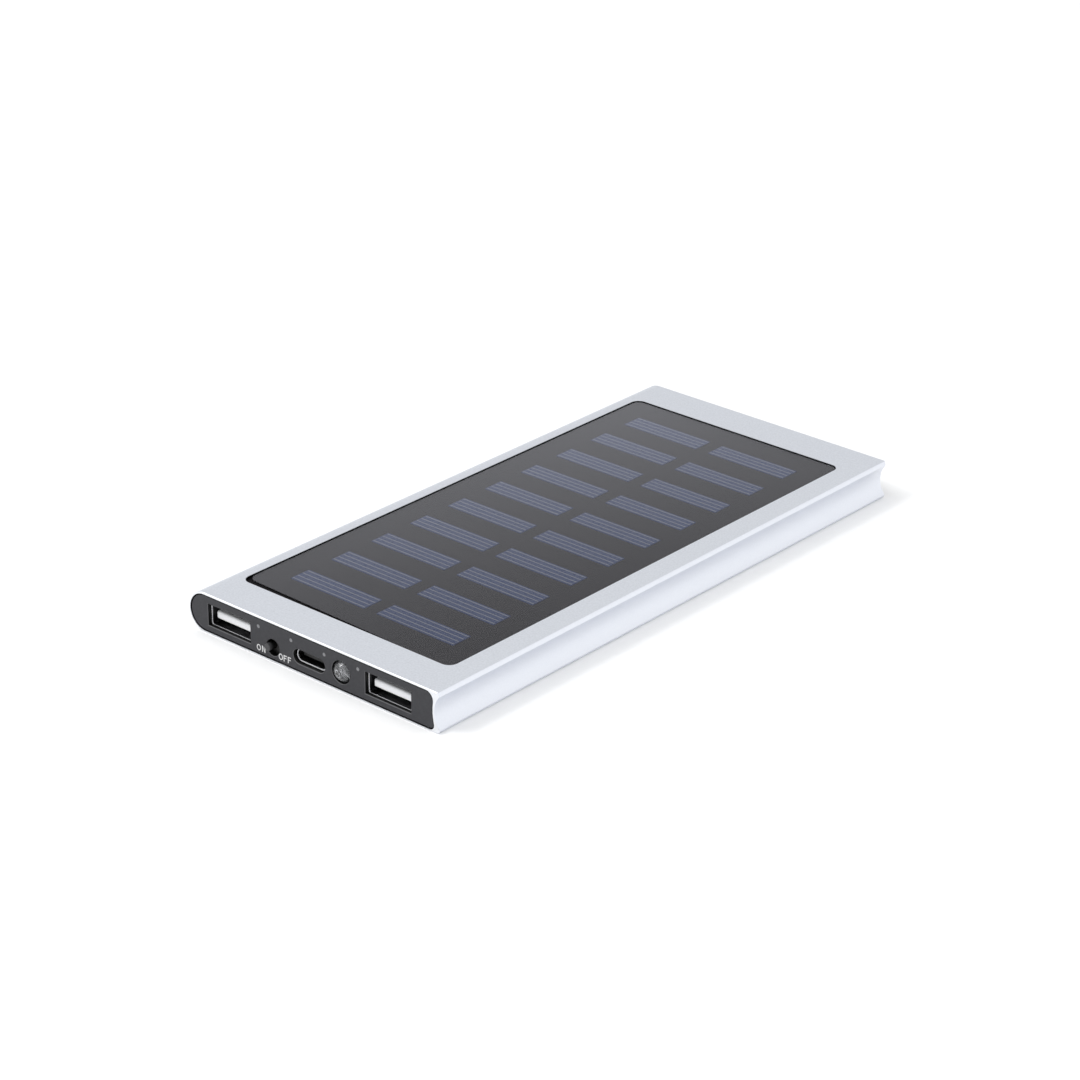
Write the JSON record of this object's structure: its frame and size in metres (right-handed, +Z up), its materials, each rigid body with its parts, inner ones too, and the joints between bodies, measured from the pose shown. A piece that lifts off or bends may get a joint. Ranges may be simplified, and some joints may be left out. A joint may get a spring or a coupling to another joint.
{
  "type": "solar phone charger",
  "caption": "Slim silver power bank with a dark solar panel let into its top, and USB sockets, a slide switch and a torch in one end.",
  "frame": {"origin": "centre of the underside, under the middle of the case", "axes": "+X across the case from the round side to the grooved side, +Y from the socket end to the plain end, +Z up from the underside to the solar panel"},
  "size_m": [0.0736, 0.1561, 0.0095],
  "materials": {
    "anodised_aluminium": "satin, finely blasted",
    "grey_cap_plastic": "matt, fine texture",
    "panel_laminate": "satin, fine haze",
    "panel_black": "matt",
    "cell_silicon": "smooth, with fine finger lines",
    "adhesive_tape": "matt",
    "socket_steel": "bright, stamped",
    "white_plastic": "smooth moulded",
    "black_plastic": "moulded",
    "contact_gold": "plated",
    "clear_epoxy": "clear, cast",
    "lead_steel": "tinned",
    "light_pipe_plastic": "milky, smooth",
    "indicator_white": "smooth",
    "board_laminate": "solder resist",
    "component_black": "moulded",
    "ferrite_grey": "pressed powder",
    "ceramic_tan": "fired",
    "foam_black": "open cell",
    "pouch_foil": "dull foil",
    "wire_red": "smooth sleeve",
    "wire_black": "smooth sleeve",
    "insulation_film": "thin film"
  },
  "bodies": {
    "case": {"housing": "anodised_aluminium", "front_cap": "grey_cap_plastic", "rear_cap": "grey_cap_plastic", "panel_adhesive": "adhesive_tape", "panel_backing": "panel_black", "solar_cells_left": "cell_silicon", "solar_cells_right": "cell_silicon", "panel_cover": "panel_laminate", "panel_lead_positive": "wire_red", "panel_lead_negative": "wire_black", "circuit_board": "board_laminate", "usb_a_shell_left": "socket_steel", "usb_a_shell_right": "socket_steel", "usb_a_tongue_left": "white_plastic", "usb_a_tongue_right": "white_plastic", "usb_a_contacts_left": "contact_gold", "usb_a_contacts_right": "contact_gold", "usb_c_shell": "socket_steel", "usb_c_tongue": "black_plastic", "usb_c_contacts": "contact_gold", "switch_body": "black_plastic", "switch_cover": "black_plastic", "switch_terminals": "contact_gold", "torch_lens": "clear_epoxy", "torch_lead_frame": "lead_steel", "indicator_light_pipe_1": "light_pipe_plastic", "indicator_light_pipe_2": "light_pipe_plastic", "indicator_light_pipe_3": "light_pipe_plastic", "indicator_light_pipe_4": "light_pipe_plastic", "indicator_led_1": "indicator_white", "indicator_led_2": "indicator_white", "indicator_led_3": "indicator_white", "indicator_led_4": "indicator_white", "power_inductor": "ferrite_grey", "charge_controller": "component_black", "boost_converter": "component_black", "battery_protector": "component_black", "ceramic_capacitors": "ceramic_tan", "chip_resistors": "component_black", "insulation_sheet": "insulation_film", "board_foam_pads": "foam_black", "pouch_cell_front": "pouch_foil", "pouch_cell_rear": "pouch_foil", "cell_tape_front": "adhesive_tape", "cell_tape_rear": "adhesive_tape", "cell_tabs_positive": "lead_steel", "cell_tabs_negative": "lead_steel", "front_cell_lead_positive": "wire_red", "front_cell_lead_negative": "wire_black", "rear_cell_lead_positive": "wire_red", "rear_cell_lead_negative": "wire_black"},
    "slider": {"switch_slider": "grey_cap_plastic", "switch_wiper": "contact_gold"}
  },
  "joints": [
    {"name": "switch_slide", "type": "slide", "parent": "case", "child": "slider", "axis": [1, 0, 0], "range_m": [0, 0.002]}
  ]
}
